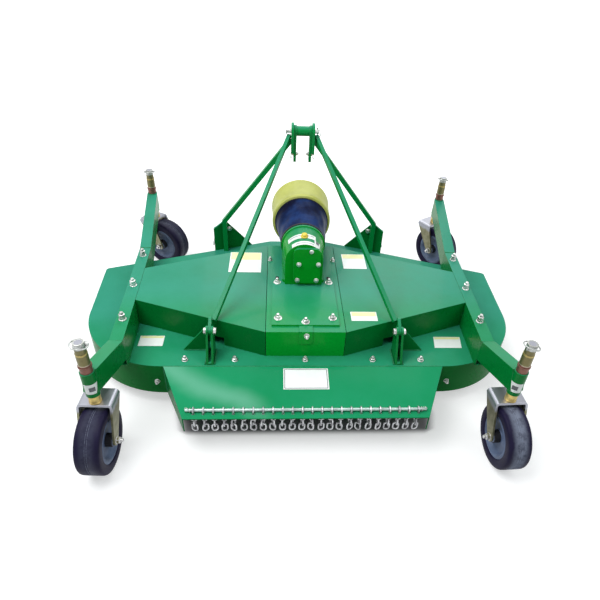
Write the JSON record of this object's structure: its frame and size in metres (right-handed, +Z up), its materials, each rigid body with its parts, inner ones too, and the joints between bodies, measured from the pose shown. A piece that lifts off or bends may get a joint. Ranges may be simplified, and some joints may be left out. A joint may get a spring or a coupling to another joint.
{
  "type": "finishing mower",
  "caption": "Rear discharge finishing mower for a three-point hitch: low deck with belt covers, gearbox with shaft guard, hitch mast, swivelling wheels and a chain curtain.",
  "frame": {"origin": "on the floor under the middle of the overall box", "axes": "+X to the right seen from behind, +Y forward to the tractor, +Z up"},
  "size_m": [1.8724, 1.6084, 0.8649],
  "materials": {
    "green_paint": "gloss",
    "chute_paint": "gloss",
    "gearbox_paint": "satin",
    "zinc": "satin",
    "spacer_zinc": "satin",
    "fork_zinc": "satin",
    "bright_steel": "satin",
    "blade_steel": "satin",
    "housing_iron": "rough",
    "boot_plastic": "matte",
    "guard_plastic": "satin",
    "tyre": "matte",
    "hub_grey": "satin",
    "label_film": "gloss"
  },
  "bodies": {
    "frame": {"deck_shell": "green_paint", "discharge_chute": "chute_paint", "chain_rod": "zinc", "chain_curtain": "zinc", "cross_channel": "green_paint", "gearbox_stand": "green_paint", "gearbox": "gearbox_paint", "shaft_boot": "boot_plastic", "shaft_guard": "guard_plastic", "lug_bolts": "zinc", "mast_pin": "zinc", "hitch_pins": "zinc", "spindle_housings": "housing_iron", "belt_cover_left": "green_paint", "side_rail_left": "green_paint", "front_arm_left": "green_paint", "rear_arm_left": "green_paint", "hitch_bracket_left": "green_paint", "mast_left": "green_paint", "brace_lug_left": "green_paint", "brace_left": "green_paint", "belt_cover_right": "green_paint", "side_rail_right": "green_paint", "front_arm_right": "green_paint", "rear_arm_right": "green_paint", "hitch_bracket_right": "green_paint", "mast_right": "green_paint", "brace_lug_right": "green_paint", "brace_right": "green_paint"},
    "input_shaft": {"input_shaft": "bright_steel"},
    "float_link": {"float_link": "green_paint"},
    "blade_left": {"blade_left": "blade_steel"},
    "blade_centre": {"blade_centre": "blade_steel"},
    "blade_right": {"blade_right": "blade_steel"},
    "swivel_rear_left": {"caster_fork_rear_left": "fork_zinc", "caster_spacers_rear_left": "spacer_zinc"},
    "wheel_rear_left": {"caster_tyre_rear_left": "tyre", "caster_hub_rear_left": "hub_grey"},
    "swivel_rear_right": {"caster_fork_rear_right": "fork_zinc", "caster_spacers_rear_right": "spacer_zinc"},
    "wheel_rear_right": {"caster_tyre_rear_right": "tyre", "caster_hub_rear_right": "hub_grey"},
    "swivel_front_left": {"caster_fork_front_left": "fork_zinc", "caster_spacers_front_left": "spacer_zinc"},
    "wheel_front_left": {"caster_tyre_front_left": "tyre", "caster_hub_front_left": "hub_grey"},
    "swivel_front_right": {"caster_fork_front_right": "fork_zinc", "caster_spacers_front_right": "spacer_zinc"},
    "wheel_front_right": {"caster_tyre_front_right": "tyre", "caster_hub_front_right": "hub_grey"}
  },
  "joints": [
    {"name": "swivel_rear_left_turn", "type": "hinge", "parent": "frame", "child": "swivel_rear_left", "pos_m": [-0.728, -0.63055, 0.35], "axis": [0, 0, 1], "continuous": true},
    {"name": "wheel_rear_left_roll", "type": "hinge", "parent": "swivel_rear_left", "child": "wheel_rear_left", "pos_m": [-0.73067, -0.68148, 0.121], "axis": [0.9986, -0.0523, 0], "continuous": true},
    {"name": "swivel_rear_right_turn", "type": "hinge", "parent": "frame", "child": "swivel_rear_right", "pos_m": [0.728, -0.63055, 0.35], "axis": [0, 0, 1], "continuous": true},
    {"name": "wheel_rear_right_roll", "type": "hinge", "parent": "swivel_rear_right", "child": "wheel_rear_right", "pos_m": [0.73067, -0.68148, 0.121], "axis": [0.9986, 0.0523, 0], "continuous": true},
    {"name": "swivel_front_left_turn", "type": "hinge", "parent": "frame", "child": "swivel_front_left", "pos_m": [-0.776, 0.72045, 0.35], "axis": [0, 0, 1], "continuous": true},
    {"name": "wheel_front_left_roll", "type": "hinge", "parent": "swivel_front_left", "child": "wheel_front_left", "pos_m": [-0.73097, 0.69651, 0.121], "axis": [0.4695, 0.8829, 0], "continuous": true},
    {"name": "swivel_front_right_turn", "type": "hinge", "parent": "frame", "child": "swivel_front_right", "pos_m": [0.776, 0.72045, 0.35], "axis": [0, 0, 1], "continuous": true},
    {"name": "wheel_front_right_roll", "type": "hinge", "parent": "swivel_front_right", "child": "wheel_front_right", "pos_m": [0.80303, 0.6772, 0.121], "axis": [0.848, 0.5299, 0], "continuous": true},
    {"name": "float_link_swing", "type": "hinge", "parent": "frame", "child": "float_link", "pos_m": [0, 0.48445, 0.829], "axis": [1, 0, 0], "range_deg": [-60, 60]},
    {"name": "blade_centre_spin", "type": "hinge", "parent": "frame", "child": "blade_centre", "pos_m": [0, 0.23745, 0.12], "axis": [0, 0, 1], "continuous": true},
    {"name": "blade_left_spin", "type": "hinge", "parent": "frame", "child": "blade_left", "pos_m": [-0.59, -0.06255, 0.12], "axis": [0, 0, 1], "continuous": true},
    {"name": "blade_right_spin", "type": "hinge", "parent": "frame", "child": "blade_right", "pos_m": [0.59, -0.06255, 0.12], "axis": [0, 0, 1], "continuous": true},
    {"name": "input_shaft_spin", "type": "hinge", "parent": "frame", "child": "input_shaft", "pos_m": [0, 0.16945, 0.455], "axis": [0, 1, 0], "continuous": true}
  ],
  "couplings": [
    {"joint": "blade_left_spin", "follows": "blade_centre_spin", "ratio": 1},
    {"joint": "blade_right_spin", "follows": "blade_centre_spin", "ratio": 1},
    {"joint": "input_shaft_spin", "follows": "blade_centre_spin", "ratio": 0.2}
  ]
}
